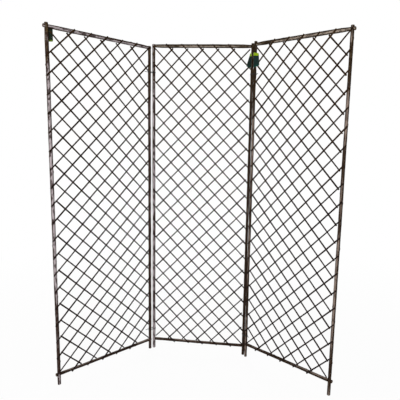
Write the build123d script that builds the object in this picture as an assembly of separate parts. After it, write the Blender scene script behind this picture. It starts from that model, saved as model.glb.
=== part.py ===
from build123d import *
import os
from math import cos, dist, hypot, pi, radians, sin

# Folding screen of willow: a centre panel and two wings, each a frame of round poles
# with two crossing layers of thin rods. Wire loops tie the neighbouring poles together.
# Millimetres, +Z up, front towards -Y. In a panel's own frame X runs from the axis of
# its left stile to the axis of its right one, Y = 0 holds the axes of all four poles
# and Z = 0 is the floor.

# Frame poles
stile_spacing = 559.0          # axis to axis of a panel's two stiles
centre_rail_spacing = 1749.0   # axis to axis of the centre panel's two rails
wing_rail_spacing = 1735.0     # the same in either wing
pole_radius = 8.5
foot_length = 58.0             # bottom rail's axis down to the floor
right_foot_length = 79.0       # the same in the right wing
top_overhang = 16.0            # top rail's axis up to a stile's end
low_overhang = 9.0             # the same on both stiles of the left joint
tall_overhang = 25.0           # the same on the left wing's outer stile
rail_past_pole = 7.0           # outer stile's side out to a rail's end
rail_short = 1.0               # hinge stile's side back to a rail's end
end_bevel = 1.2                # worn edge of a sawn pole end
lap_gap = 0.1                  # between the two halves of a corner lap
overrun = 5.0                  # how far every cut runs past its wood

# Corner nails, driven from behind through both halves of each lap
nail_radius = 1.1
nail_length = 12.5
nail_head_radius = 2.8
nail_head_height = 1.2
nail_hole_gap = 0.05

# Lattice rods
diamonds_across = 6
diamonds_high = 19
rod_butt_radius = 4.0
rod_tip_radius = 3.1
rod_gap = 0.02                 # a rod to the pole or rod that it lies on
back_rod_gap = 2.6             # cut end of a back rod to the pole beside it
nub_past_pole = 7.0            # outer stile's side out to the tip of a front rod
rail_nub_past_pole = 3.5       # the same over the rails
hinge_nub = 5.0                # axis of the centre panel's left stile out to a tip
hinge_stop = 0.0               # the same on the joints' other stiles

# Axes of the left stile, right stile, bottom rail and top rail in to the outermost
# crossings: the lattices were nailed by eye and sit a little off the middle
left_insets = (14.0, 28.0, 32.0, 22.0)
centre_insets = (17.0, 19.0, 26.0, 22.0)
right_insets = (18.0, 18.0, 18.0, 24.0)

# Wire ties of the two joints
tie_spacing = 26.0             # axis to axis of the two poles that a wire ties
wire_radius = 0.8
wire_clearance = 0.4           # wire to pole
wire_turn_gap = 0.5            # one turn to the next, and one twisted end to the other
wire_turns = 3
tail_start = 8.0               # loop's outer side out to the twist
tail_twists = 1.25
tail_twist_pitch = 8.0
tail_leave_angle = 62.0        # where the ends leave the outer pole, either side
wire_rows = {"top": diamonds_high - 1, "bottom": 1}

# The centre panel's row of crossings down to the middle of each wire
wire_drops = {"left": {"top": 33.0, "bottom": 47.0}, "right": {"top": 38.0, "bottom": 40.0}}

# The fold of the photograph, in degrees from a flat screen
left_fold = 52.0
right_fold = 34.0
left_tie_angle = 38.0          # wire ties, measured as the wings are
right_tie_angle = 48.0

wire_pitch = 2 * wire_radius + wire_turn_gap
wire_path_radius = pole_radius + wire_clearance + wire_radius
outer_nub = pole_radius + nub_past_pole
rail_nub = pole_radius + rail_nub_past_pole
rail_overhang = pole_radius + rail_past_pole
rail_inset = pole_radius - rail_short

# Heights of the rails' axes, bottom and top
left_rails = (foot_length, foot_length + wing_rail_spacing)
centre_rails = (foot_length, foot_length + centre_rail_spacing)
right_rails = (right_foot_length, right_foot_length + wing_rail_spacing)


def lattice_grid(insets, rails):
    """The outermost crossings of a panel: lowest and highest X, then Z."""
    left, right, bottom, top = insets
    return left, stile_spacing - right, rails[0] + bottom, rails[1] - top


def pitches(grid):
    """Distance between crossings along and up a panel."""
    low_x, high_x, low_z, high_z = grid
    return (high_x - low_x) / diamonds_across, (high_z - low_z) / diamonds_high


def rod_run(grid):
    """A rod's direction: its shares along the panel and upwards."""
    pitch_x, pitch_z = pitches(grid)
    diagonal = hypot(pitch_x, pitch_z)
    return pitch_x / diagonal, pitch_z / diagonal


def crossing(column, row, grid):
    """The place of one lattice crossing in the panel's own X and Z."""
    pitch_x, pitch_z = pitches(grid)
    return grid[0] + column * pitch_x, grid[2] + row * pitch_z


left_grid = lattice_grid(left_insets, left_rails)
centre_grid = lattice_grid(centre_insets, centre_rails)
right_grid = lattice_grid(right_insets, right_rails)


def lap_cutter(x, z, half_width, half_height, side):
    """A block that halves a pole at a corner, on its front (-1) or back (1) side."""
    depth = pole_radius + overrun
    block = Box(2 * half_width, depth, 2 * half_height)
    return Pos(x, side * depth / 2, z) * block


def nail_hole(x, z):
    """A round hole for a corner nail, open at the back."""
    radius = nail_radius + nail_hole_gap
    depth = nail_length + nail_hole_gap + overrun
    middle = pole_radius - (nail_length + nail_hole_gap) + depth / 2
    return Pos(x, middle, z) * Rot(X=90) * Cylinder(radius, depth)


def stile(x, overhang, rails):
    """One upright pole: bevelled ends, and its back half cut away where rails cross."""
    top = rails[1] + overhang
    pole = Pos(x, 0, top / 2) * Cylinder(pole_radius, top)
    pole = chamfer(pole.edges().filter_by(GeomType.CIRCLE), end_bevel)
    for z in rails:
        pole -= lap_cutter(x, z, pole_radius + overrun, pole_radius + lap_gap, 1)
        pole -= nail_hole(x, z)
    return pole


def rail(z, left_overhang, right_overhang):
    """One cross pole, its front half cut away where it passes behind the stiles."""
    length = stile_spacing + left_overhang + right_overhang
    middle = (stile_spacing + right_overhang - left_overhang) / 2
    pole = Pos(middle, 0, z) * Rot(Y=90) * Cylinder(pole_radius, length)
    pole = chamfer(pole.edges().filter_by(GeomType.CIRCLE), end_bevel)
    for x in (0, stile_spacing):
        pole -= Pos(0, lap_gap, 0) * lap_cutter(x, z, pole_radius + lap_gap, pole_radius + overrun, -1)
        pole -= nail_hole(x, z)
    return pole


def corner_nails(rails):
    """Four wire nails, heads on the backs of the rails."""
    nails = []
    for z in rails:
        for x in (0, stile_spacing):
            shank = Pos(x, pole_radius - nail_length / 2, z) * Rot(X=90) * Cylinder(nail_radius, nail_length)
            head = Pos(x, pole_radius + nail_head_height / 2, z) * Rot(X=90)
            head *= Cylinder(nail_head_radius, nail_head_height)
            nails.append(shank + head)
    return nails


def rod_span(slope, line, margins, rails, grid):
    """Both ends of a lattice line, measured along it from its lowest whole crossing.

    Margins say how far past each pole's axis the line may run, so a negative one
    stops the line short of the pole."""
    left, right, bottom, top = margins
    run_x, run_z = rod_run(grid)
    if slope > 0:
        start_column, start_row = max(line, 0), max(-line, 0)
    else:
        start_column, start_row = min(line, diamonds_across), max(line - diamonds_across, 0)
    x, z = crossing(start_column, start_row, grid)
    low_z = rails[0] - bottom
    high_z = rails[1] + top
    low_x, high_x = -left, stile_spacing + right
    near_x, far_x = (low_x, high_x) if slope > 0 else (high_x, low_x)
    low = max((near_x - x) / (slope * run_x), (low_z - z) / run_z)
    high = min((far_x - x) / (slope * run_x), (high_z - z) / run_z)
    return (x + slope * run_x * low, z + run_z * low), (x + slope * run_x * high, z + run_z * high)


def lattice(slope, layer, margins, rails, grid):
    """All parallel rods of one layer: front ones are layer -1, back ones layer 1.

    Every rod is a slim cone whose flank lies on the plane that the poles' fronts and
    the two layers share. Butts point up and down in turn."""
    if slope > 0:
        lines = range(1 - diamonds_high, diamonds_across)
    else:
        lines = range(1, diamonds_across + diamonds_high)
    rods = []
    for line in lines:
        low, high = rod_span(slope, line, margins, rails, grid)
        ends = (low, high) if line % 2 else (high, low)
        radii = (rod_butt_radius, rod_tip_radius)
        points = [Vector(x, -pole_radius + layer * (radius + rod_gap), z)
                  for (x, z), radius in zip(ends, radii)]
        along = points[1] - points[0]
        butt = Plane(origin=points[0], z_dir=along)
        rods.append(Solid.make_cone(rod_butt_radius, rod_tip_radius, along.length, butt))
    return rods


def panel(rails, grid, stile_names, face_slope, overhangs, nubs, rail_ends):
    """The solids of one panel, by sub-part name, in the panel's own frame."""
    end_reach = rod_butt_radius * rod_run(grid)[1]
    side_nubs = [nub - end_reach for nub in nubs]
    rail_nubs = [rail_nub - end_reach] * 2
    short = -(pole_radius + back_rod_gap + end_reach)
    return {
        stile_names[0]: [stile(0, overhangs[0], rails)],
        stile_names[1]: [stile(stile_spacing, overhangs[1], rails)],
        "bottom_rail": [rail(rails[0], *rail_ends)],
        "top_rail": [rail(rails[1], *rail_ends)],
        "face_rods": lattice(face_slope, -1, (*side_nubs, *rail_nubs), rails, grid),
        "back_rods": lattice(-face_slope, 1, (short, short, short, short), rails, grid),
        "corner_nails": corner_nails(rails),
    }


def biarc(start, start_way, end, end_way):
    """One or two arcs from a point and direction to the next, or a straight run."""
    step = end - start
    bend = step.cross(start_way).length + step.cross(end_way).length
    if bend < step.length * 1e-6:
        return [Edge.make_line(start, end)]
    spread = 2 * (start_way.dot(end_way) - 1)
    lean = 2 * step.dot(start_way + end_way)
    reach = step.dot(step)
    if abs(spread) < 1e-9:
        arm = reach / lean
    else:
        arm = (lean - (lean * lean - 4 * spread * reach) ** 0.5) / (2 * spread)
    first_knee = start + start_way * arm
    second_knee = end - end_way * arm
    middle = (first_knee + second_knee) / 2
    middle_way = (second_knee - first_knee).normalized()
    return [Edge.make_tangent_arc(start, start_way, middle),
            Edge.make_tangent_arc(middle, middle_way, end)]


def wire_stations():
    """Points and directions of a tie's wire: in along its twisted tail, round both
    poles, and out again. The centre panel's pole stands at X = 0 and the wing's pole
    at X = tie_spacing, and the wire's middle height is Z = 0."""
    climb_length = 2 * pi * wire_path_radius + 2 * tie_spacing
    slope = wire_pitch / climb_length
    strand = wire_radius + wire_turn_gap / 2
    twist_rate = 2 * pi / tail_twist_pitch
    base = tie_spacing + wire_path_radius + tail_start
    quarters = round(4 * tail_twists)

    def tail(phase, outward):
        stations = []
        for step in range(quarters + 1):
            angle = phase + step * pi / 2
            point = Vector(base + step * tail_twist_pitch / 4, strand * cos(angle), strand * sin(angle))
            way = Vector(1, -strand * twist_rate * sin(angle), strand * twist_rate * cos(angle))
            stations.append((point, way.normalized() * outward))
        return stations if outward > 0 else stations[::-1]

    leave = radians(tail_leave_angle)
    turned = wire_turns * climb_length - wire_path_radius * 2 * leave
    loops = []
    travelled = 0

    def add(pole_x, angle):
        point = Vector(pole_x + wire_path_radius * cos(angle), wire_path_radius * sin(angle),
                       slope * (travelled - turned / 2))
        loops.append((point, Vector(-sin(angle), cos(angle), slope).normalized()))

    add(tie_spacing, leave)
    travelled += wire_path_radius * (pi / 2 - leave)
    add(tie_spacing, pi / 2)
    for turn in range(wire_turns):
        travelled += tie_spacing
        add(0, pi / 2)
        travelled += wire_path_radius * pi
        add(0, 3 * pi / 2)
        travelled += tie_spacing
        add(tie_spacing, 3 * pi / 2)
        if turn < wire_turns - 1:
            travelled += wire_path_radius * pi
            add(tie_spacing, 5 * pi / 2)
    travelled += wire_path_radius * (pi / 2 - leave)
    add(tie_spacing, 2 * pi - leave)
    return tail(0, -1) + loops + tail(pi, 1)


def least_gap(path, samples=900):
    """Smallest gap of the wire to itself, measured on points along its path."""
    points = [tuple(path.position_at(i / samples)) for i in range(samples + 1)]
    skip = int(pi * wire_radius * samples / path.length) + 1
    nearest = min(dist(points[i], points[j])
                  for i in range(len(points)) for j in range(i + skip, len(points)))
    return nearest - 2 * wire_radius


def wire_tie():
    """One tie: a single unbroken wire wound round both poles, its ends twisted."""
    stations = wire_stations()
    edges = []
    for (start, start_way), (end, end_way) in zip(stations, stations[1:]):
        edges += biarc(start, start_way, end, end_way)
    path = Wire(edges)
    section = Plane(origin=stations[0][0], z_dir=stations[0][1]) * Circle(wire_radius)
    tube = sweep(section, path=path)
    swept = pi * wire_radius ** 2 * path.length
    print(f"wire: length {path.length:.1f} mm, least gap to itself {least_gap(path):.2f} mm,"
          f" volume over section times length {tube.volume / swept:.4f}")
    return tube


def tied(pole, angle, side):
    """Where the wing's pole stands, tied to the pole at the given place."""
    return (pole[0] + side * tie_spacing * cos(radians(angle)),
            pole[1] - tie_spacing * sin(radians(angle)))


half = stile_spacing / 2
left_pole = (-half, 0)
right_pole = (half, 0)
left_wing_pole = tied(left_pole, left_tie_angle, -1)
right_wing_pole = tied(right_pole, right_tie_angle, 1)

panels = {
    "left": (Pos(*left_wing_pole, 0) * Rot(Z=left_fold) * Pos(-stile_spacing, 0, 0),
             panel(left_rails, left_grid, ("outer_stile", "hinge_stile"), 1,
                   (tall_overhang, low_overhang), (outer_nub, hinge_stop), (rail_overhang, rail_inset))),
    "centre": (Pos(-half, 0, 0),
               panel(centre_rails, centre_grid, ("left_stile", "right_stile"), -1,
                     (low_overhang, top_overhang), (hinge_nub, hinge_stop), (rail_inset, rail_inset))),
    "right": (Pos(*right_wing_pole, 0) * Rot(Z=-right_fold),
              panel(right_rails, right_grid, ("hinge_stile", "outer_stile"), 1,
                    (top_overhang, top_overhang), (hinge_stop, outer_nub), (rail_inset, rail_overhang))),
}

nodes = {}
for name, (place, pieces) in panels.items():
    for piece, solids in pieces.items():
        nodes[f"{name}_{piece}"] = [place * solid for solid in solids]

tie = wire_tie()
for side, pole, turn in (("left", left_pole, 180 + left_tie_angle),
                         ("right", right_pole, -right_tie_angle)):
    for level, row in wire_rows.items():
        height = crossing(0, row, centre_grid)[1] - wire_drops[side][level]
        nodes[f"{side}_{level}_wire"] = [Pos(*pole, height) * Rot(Z=turn) * tie]

# The origin is on the floor, in the middle of the whole screen
boxes = [solid.bounding_box() for solids in nodes.values() for solid in solids]
low_x, high_x = min(box.min.X for box in boxes), max(box.max.X for box in boxes)
low_y, high_y = min(box.min.Y for box in boxes), max(box.max.Y for box in boxes)
shift_x, shift_y = -(low_x + high_x) / 2, -(low_y + high_y) / 2
origin = Pos(shift_x, shift_y, 0)

os.makedirs("parts", exist_ok=True)
for name, solids in nodes.items():
    moved = [origin * solid for solid in solids]
    shape = moved[0] if len(moved) == 1 else Compound(children=moved)
    export_step(shape, f"parts/{name}.step")

print(f"footprint {high_x - low_x:.2f} by {high_y - low_y:.2f} mm")
print("lattice pitches", [[round(pitch, 2) for pitch in pitches(grid)]
                           for grid in (left_grid, centre_grid, right_grid)])
for name, (x, y) in (("left_pole", left_pole), ("left_wing_pole", left_wing_pole),
                     ("right_pole", right_pole), ("right_wing_pole", right_wing_pole)):
    print(f"{name} axis at {x + shift_x:.4f} {y + shift_y:.4f}")
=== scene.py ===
import math
import random

import bmesh
import bpy
from mathutils import Matrix, Vector, noise


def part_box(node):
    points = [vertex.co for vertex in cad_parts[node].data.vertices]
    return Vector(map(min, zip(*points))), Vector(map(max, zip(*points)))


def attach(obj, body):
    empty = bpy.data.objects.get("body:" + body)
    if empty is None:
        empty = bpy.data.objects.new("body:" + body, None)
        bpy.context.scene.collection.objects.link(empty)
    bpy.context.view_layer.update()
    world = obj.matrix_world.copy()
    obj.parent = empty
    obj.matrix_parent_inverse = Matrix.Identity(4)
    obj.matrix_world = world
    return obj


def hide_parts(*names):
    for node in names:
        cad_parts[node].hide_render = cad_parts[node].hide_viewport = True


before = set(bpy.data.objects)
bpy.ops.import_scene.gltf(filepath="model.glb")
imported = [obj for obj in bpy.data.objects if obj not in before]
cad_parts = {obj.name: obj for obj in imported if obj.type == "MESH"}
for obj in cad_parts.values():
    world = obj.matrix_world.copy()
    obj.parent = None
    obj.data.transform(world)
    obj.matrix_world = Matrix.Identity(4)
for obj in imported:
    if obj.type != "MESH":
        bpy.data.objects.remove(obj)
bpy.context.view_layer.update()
print("frame loaded:", len(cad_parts), "nodes")

mm = 0.001


def addObject(name, data):
    made = bpy.data.objects.new(name, data)
    bpy.context.scene.collection.objects.link(made)
    return made


# Camera: fitted to the corners and lattice crossings of the three panels
cameraView = {
    "place": (0.41246, -2.09372, 1.29257),
    "turnLeft": 5.9815,           # degrees away from straight at the centre panel
    "lookDown": 8.2724,
    "roll": 1.6845,
    "focalPixels": 407.60,
    "middlePixel": (238.92, 200.14),
    "imagePixels": 400,
    "sensor": 36.0,
    "farthest": 60,
}


def makeCamera(view):
    data = bpy.data.cameras.new("view camera")
    camera = addObject("view camera", data)
    yaw, pitch, roll = (math.radians(view[key]) for key in ("turnLeft", "lookDown", "roll"))
    forward = Vector((-math.sin(yaw) * math.cos(pitch), math.cos(yaw) * math.cos(pitch), -math.sin(pitch)))
    level = Vector((math.cos(yaw), math.sin(yaw), 0))
    upright = level.cross(forward)
    right = level * math.cos(roll) + upright * math.sin(roll)
    up = upright * math.cos(roll) - level * math.sin(roll)
    turn = Matrix((right, up, -forward)).transposed().to_4x4()
    camera.matrix_world = Matrix.Translation(view["place"]) @ turn
    half = view["imagePixels"] / 2
    data.sensor_width = view["sensor"]
    data.lens = view["focalPixels"] / view["imagePixels"] * view["sensor"]
    data.shift_x = -(view["middlePixel"][0] - half) / view["imagePixels"]
    data.shift_y = (view["middlePixel"][1] - half) / view["imagePixels"]
    data.clip_end = view["farthest"]
    bpy.context.scene.camera = camera


makeCamera(cameraView)
print("camera placed")


# Small helpers for node trees
def inputOf(node, key):
    if isinstance(key, int):
        return node.inputs[key]
    return next(socket for socket in node.inputs if socket.enabled and socket.name == key)


def outputOf(node):
    return next(socket for socket in node.outputs if socket.enabled)


def addNode(tree, kind, inputs=None, **settings):
    node = tree.nodes.new(kind)
    for name, value in settings.items():
        setattr(node, name, value)
    for key, value in (inputs or {}).items():
        socket = inputOf(node, key)
        if isinstance(value, bpy.types.NodeSocket):
            tree.links.new(value, socket)
        else:
            socket.default_value = value
    return node


def calc(tree, operation, *values, clamp=False):
    node = addNode(tree, "ShaderNodeMath", dict(enumerate(values)), operation=operation, use_clamp=clamp)
    return node.outputs[0]


def times(tree, *values, **options):
    return calc(tree, "MULTIPLY", *values, **options)


def plus(tree, *values, **options):
    return calc(tree, "ADD", *values, **options)


def minus(tree, *values, **options):
    return calc(tree, "SUBTRACT", *values, **options)


def vectorCalc(tree, operation, *values):
    return outputOf(addNode(tree, "ShaderNodeVectorMath", dict(enumerate(values)), operation=operation))


def scaled(tree, vector, amount):
    return outputOf(addNode(tree, "ShaderNodeVectorMath", {0: vector, "Scale": amount}, operation="SCALE"))


def mixColours(tree, factor, first, second):
    inputs = {"Factor": factor, "A": first, "B": second}
    return outputOf(addNode(tree, "ShaderNodeMix", inputs, data_type="RGBA"))


def ramp(tree, value, low, high, newLow=0.0, newHigh=1.0):
    return outputOf(addNode(tree, "ShaderNodeMapRange", {
        "Value": value, "From Min": low, "From Max": high, "To Min": newLow, "To Max": newHigh}))


def noiseTexture(tree, vector, scale, detail, **inputs):
    return addNode(tree, "ShaderNodeTexNoise", {"Vector": vector, "Scale": scale, "Detail": detail, **inputs})


def vectorFrom(tree, *parts):
    return addNode(tree, "ShaderNodeCombineXYZ", dict(enumerate(parts))).outputs[0]


def colour(red, green, blue):
    return (red, green, blue, 1.0)


# A socket's kind: named by a word where it has no default value, or else read from that value
def kindOf(value):
    if isinstance(value, str):
        return "NodeSocket" + value
    kinds = {float: "Float", int: "Int", tuple: "Color", bpy.types.Material: "Material"}
    return "NodeSocket" + next(word for kind, word in kinds.items() if isinstance(value, kind))


def newGroup(name, kind, inputs, outputs):
    group = bpy.data.node_groups.new(name, kind)
    sockets = {}
    for title, value in inputs.items():
        socket = group.interface.new_socket(name=title, in_out="INPUT", socket_type=kindOf(value))
        if not isinstance(value, str):
            socket.default_value = value
        sockets[title] = socket.identifier
    for title, value in outputs.items():
        group.interface.new_socket(name=title, in_out="OUTPUT", socket_type=kindOf(value))
    return group, group.nodes.new("NodeGroupInput").outputs, sockets


def feed(tree, node, sockets):
    for title, socket in sockets.items():
        tree.links.new(socket, node.inputs[title])


def closeGroup(group, results):
    feed(group, group.nodes.new("NodeGroupOutput"), results)
    return group


def findNode(tree, kind):
    return next(node for node in tree.nodes if node.type == kind)


def bumpOf(tree, bump, height):
    strength, depth = bump
    inputs = {"Strength": strength, "Distance": depth, "Height": height}
    return addNode(tree, "ShaderNodeBump", inputs).outputs[0]


surfaceOutputs = {"Color": "Color", "Roughness": "Float", "Height": "Float"}

# Bark of the poles and rods, as one shader group
barkPattern = {
    # The size that a layer goes by and its share of it, the stretch along the pole, detail and offset
    "layers": {
        "patches": ("Patch Size", 1.0, 9.0, 3.0, (0.3, 0.7, 0.2)),
        "streaks": ("Patch Size", 0.22, 16.0, 4.0, (0.9, 0.1, 0.5)),
        "fibres": ("Fibre Size", 1.0, 22.0, 3.0, (0.2, 0.4, 0.8)),
        "blotches": ("Patch Size", 0.35, 1.6, 3.0, (0.6, 0.2, 0.9)),
        "spots": ("Patch Size", 0.55, 2.4, 4.0, (0.4, 0.9, 0.3)),
    },
    "noiseRoughness": 0.55,
    "spotEdge": (0.49, 0.56),
    "poreSquash": (1, 1, 2.2),
    "poreScale": 130.0,
    "poreEdge": (0.22, 0.12),
    "wornEdge": 0.78,             # noise above which the bark is worn, at a worn share of nothing
    "wornBelow": 0.05,
    "wornAbove": 0.09,
    "streaksInWorn": 0.55,
    "wornCover": 0.9,
    "blotchEdge": (0.33, 0.66),
    "grain": (0.3, 0.7, 0.72, 1.22),
    "toneShades": (0.0, 1.0, 0.7, 1.3),
    "ringWave": 7000.0,           # radians per metre of the rings on a cut end
    "ringShades": (-1.0, 1.0, 0.75, 1.0),
    "pithShades": (0.0004, 0.0012, 0.4, 1.0),
    "stainShades": (0.4, 0.7, 0.0, 0.6),
    "roughness": 0.52,
    "fibreRoughness": 0.25,
    "wornRoughness": 0.12,
    "heights": (0.6, 0.5, 0.35, 0.25),   # of fibres, blotches and pores, and what wear takes off
}


def makeBarkGroup():
    group, given, _ = newGroup("willow bark", "ShaderNodeTree", {
        "Place": "Vector",
        "Tone": 0.5,
        "Cut End": 0.0,
        "Pale Side And Highlight": 0.5,
        "Side Effect": 0.0,
        "Youth": 0.0,
        "Dark": colour(0.03, 0.02, 0.015),
        "Middle": colour(0.10, 0.07, 0.05),
        "Young": colour(0.09, 0.065, 0.028),
        "Worn": colour(0.35, 0.28, 0.25),
        "Wood": colour(0.45, 0.33, 0.22),
        "Worn Share": 0.4,
        "Spots": 0.0,
        "Pores": 0.35,
        "Patch Size": 0.03,
        "Fibre Size": 0.0012,
    }, surfaceOutputs)
    place = given["Place"]
    look = barkPattern

    def noiseOn(sizeName, share, stretch, detail, offset):
        vector = vectorCalc(group, "MULTIPLY", place, (1, 1, 1 / stretch))
        vector = vectorCalc(group, "ADD", vector, offset)
        frequency = calc(group, "DIVIDE", 1.0, times(group, given[sizeName], share))
        return noiseTexture(group, vector, frequency, detail, Roughness=look["noiseRoughness"]).outputs[0]

    patches, streaks, fibres, blotches, spots = (noiseOn(*layer) for layer in look["layers"].values())
    spotMask = times(group, ramp(group, spots, *look["spotEdge"]), given["Spots"])

    # Short pale pores, set crosswise as on young willow
    poreVector = vectorCalc(group, "MULTIPLY", place, look["poreSquash"])
    pores = addNode(group, "ShaderNodeTexVoronoi", {"Vector": poreVector, "Scale": look["poreScale"]})
    poreMask = ramp(group, pores.outputs[0], *look["poreEdge"])

    edge = minus(group, look["wornEdge"], times(group, given["Worn Share"], 0.5))
    wearAndHighlightBase = plus(group, patches, times(group, minus(group, streaks, 0.5), look["streaksInWorn"]))
    # The pale side is partly bleached bark and partly a painted highlight: it raises the worn mask on the
    # side facing the front lamp and lowers it on the far sides
    paleSideAndHighlightShift = times(group, minus(group, given["Pale Side And Highlight"], 0.5), given["Side Effect"])
    wearAndHighlightBase = plus(group, wearAndHighlightBase, paleSideAndHighlightShift)
    # From here the worn mask holds real wear and the painted highlight band, in colour, roughness and height
    # alike
    worn = ramp(group, wearAndHighlightBase, minus(group, edge, look["wornBelow"]), plus(group, edge, look["wornAbove"]))

    middle = mixColours(group, given["Youth"], given["Middle"], given["Young"])
    base = mixColours(group, ramp(group, blotches, *look["blotchEdge"]), given["Dark"], middle)
    base = mixColours(group, times(group, worn, look["wornCover"]), base, given["Worn"])
    base = mixColours(group, times(group, poreMask, given["Pores"]), base, given["Worn"])
    base = mixColours(group, spotMask, base, given["Dark"])
    shade = times(group, ramp(group, fibres, *look["grain"]), ramp(group, given["Tone"], *look["toneShades"]))
    base = scaled(group, base, shade)

    # Cut ends: pale wood with faint rings and a darker pith
    reach = vectorCalc(group, "LENGTH", vectorCalc(group, "MULTIPLY", place, (1, 1, 0)))
    ringWave = calc(group, "SINE", times(group, reach, look["ringWave"]))
    rings = ramp(group, ringWave, *look["ringShades"])
    pith = ramp(group, reach, *look["pithShades"])
    endGrain = scaled(group, given["Wood"], times(group, rings, pith))
    endGrain = mixColours(group, ramp(group, blotches, *look["stainShades"]), endGrain, given["Middle"])
    final = mixColours(group, given["Cut End"], base, endGrain)

    roughness = plus(group, look["roughness"], times(group, fibres, look["fibreRoughness"]))
    roughness = plus(group, roughness, times(group, worn, look["wornRoughness"]), clamp=True)
    fibreHeight, blotchHeight, poreHeight, wornDepth = look["heights"]
    height = plus(group, times(group, fibres, fibreHeight), times(group, blotches, blotchHeight))
    height = plus(group, height, times(group, poreMask, poreHeight))
    height = minus(group, height, times(group, worn, wornDepth))
    return closeGroup(group, {"Color": final, "Roughness": roughness, "Height": height})


barkGroup = makeBarkGroup()


def newMaterial(name):
    material = bpy.data.materials.new(name)
    material.use_nodes = True
    tree = material.node_tree
    return material, tree, findNode(tree, "BSDF_PRINCIPLED")


# A material that hands mesh attributes and its own values to a group and wears what comes out
def groupMaterial(name, group, attributes, values, bump, gloss):
    material, tree, surface = newMaterial(name)
    worked = tree.nodes.new("ShaderNodeGroup")
    worked.node_tree = group
    for title, (attribute, key) in attributes.items():
        read = addNode(tree, "ShaderNodeAttribute", attribute_name=attribute)
        tree.links.new(read.outputs[key], worked.inputs[title])
    for title, value in values.items():
        worked.inputs[title].default_value = value
    made = worked.outputs
    feed(tree, surface, {"Base Color": made["Color"], "Roughness": made["Roughness"],
                         "Normal": bumpOf(tree, bump, made["Height"])})
    surface.inputs["Specular IOR Level"].default_value = gloss
    return material


barkAttributes = {"Place": ("barkPlace", "Vector"), "Tone": ("tone", "Fac"), "Cut End": ("cutEnd", "Fac"),
                  "Pale Side And Highlight": ("paleSideAndHighlight", "Fac"), "Youth": ("youth", "Fac")}
barkGloss = 0.05
# Worn is the colour of worn bark and also of the painted highlight band along each pole; Side Effect sets how
# strongly that band shows
barkLooks = {
    "greyPole": {"bump": (0.8, 0.0007), "group": {
        "Dark": colour(0.026, 0.012, 0.009), "Middle": colour(0.066, 0.042, 0.034),
        "Worn": colour(0.46, 0.40, 0.415), "Wood": colour(0.16, 0.11, 0.07),
        "Young": colour(0.085, 0.058, 0.024), "Spots": 0.85, "Pores": 0.3,
        "Worn Share": 0.36, "Side Effect": 0.55, "Patch Size": 0.020, "Fibre Size": 0.0011}},
    "oliveRail": {"bump": (0.8, 0.0007), "group": {
        "Dark": colour(0.015, 0.009, 0.005), "Middle": colour(0.046, 0.029, 0.017),
        "Worn": colour(0.33, 0.27, 0.22), "Wood": colour(0.15, 0.10, 0.065),
        "Young": colour(0.062, 0.042, 0.019), "Spots": 0.6, "Pores": 0.3,
        "Worn Share": 0.04, "Side Effect": 0.66, "Patch Size": 0.018, "Fibre Size": 0.0011}},
    "brownPole": {"bump": (0.8, 0.0007), "group": {
        "Dark": colour(0.014, 0.007, 0.004), "Middle": colour(0.048, 0.028, 0.018),
        "Worn": colour(0.28, 0.215, 0.18), "Wood": colour(0.14, 0.095, 0.06),
        "Young": colour(0.052, 0.034, 0.013), "Spots": 0.5, "Pores": 0.55,
        "Worn Share": 0.12, "Side Effect": 0.45, "Patch Size": 0.022, "Fibre Size": 0.0011}},
    "rod": {"bump": (0.6, 0.0003), "group": {
        "Dark": colour(0.008, 0.0040, 0.0030), "Middle": colour(0.024, 0.0135, 0.0115),
        "Worn": colour(0.07, 0.045, 0.035), "Wood": colour(0.26, 0.18, 0.12),
        "Young": colour(0.052, 0.0265, 0.0085), "Pores": 0.3,
        "Worn Share": 0.15, "Side Effect": 0.0, "Patch Size": 0.012, "Fibre Size": 0.0007}},
}
barks = {name: groupMaterial(name, barkGroup, barkAttributes, look["group"], look["bump"], barkGloss)
         for name, look in barkLooks.items()}
print("bark materials made")

# The three panels, read from the frame: pole axes and rail heights
poleRadius = 8.5 * mm
panelNames = {
    "left": ("outer_stile", "hinge_stile"),
    "centre": ("left_stile", "right_stile"),
    "right": ("hinge_stile", "outer_stile"),
}
bodyOf = {"left": "left_wing", "centre": "centre_panel", "right": "right_wing"}


def middleOf(node):
    low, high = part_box(node)
    return (low + high) / 2


def topOf(node):
    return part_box(node)[1].z


def readPanel(name):
    first, second = (f"{name}_{part}" for part in panelNames[name])
    start, end = middleOf(first), middleOf(second)
    start.z = end.z = 0
    along = (end - start).normalized()
    back = Vector((-along.y, along.x, 0))
    turn = Matrix((along, back, Vector((0, 0, 1)))).transposed().to_4x4()
    return {
        "name": name,
        "matrix": Matrix.Translation(start) @ turn,
        "width": (end - start).length,
        "rails": (middleOf(f"{name}_bottom_rail").z, middleOf(f"{name}_top_rail").z),
        "tops": (topOf(first), topOf(second)),
        "stiles": (first, second),
    }


panels = {name: readPanel(name) for name in panelNames}


def finishPiece(name, mesh, body, replaced=()):
    piece = addObject(name, mesh)
    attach(piece, body)
    if replaced:
        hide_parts(*replaced)


def store(mesh, name, values, kind="FLOAT", domain="POINT"):
    field = "vector" if kind == "FLOAT_VECTOR" else "value"
    mesh.attributes.new(name, kind, domain).data.foreach_set(field, values)


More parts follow.
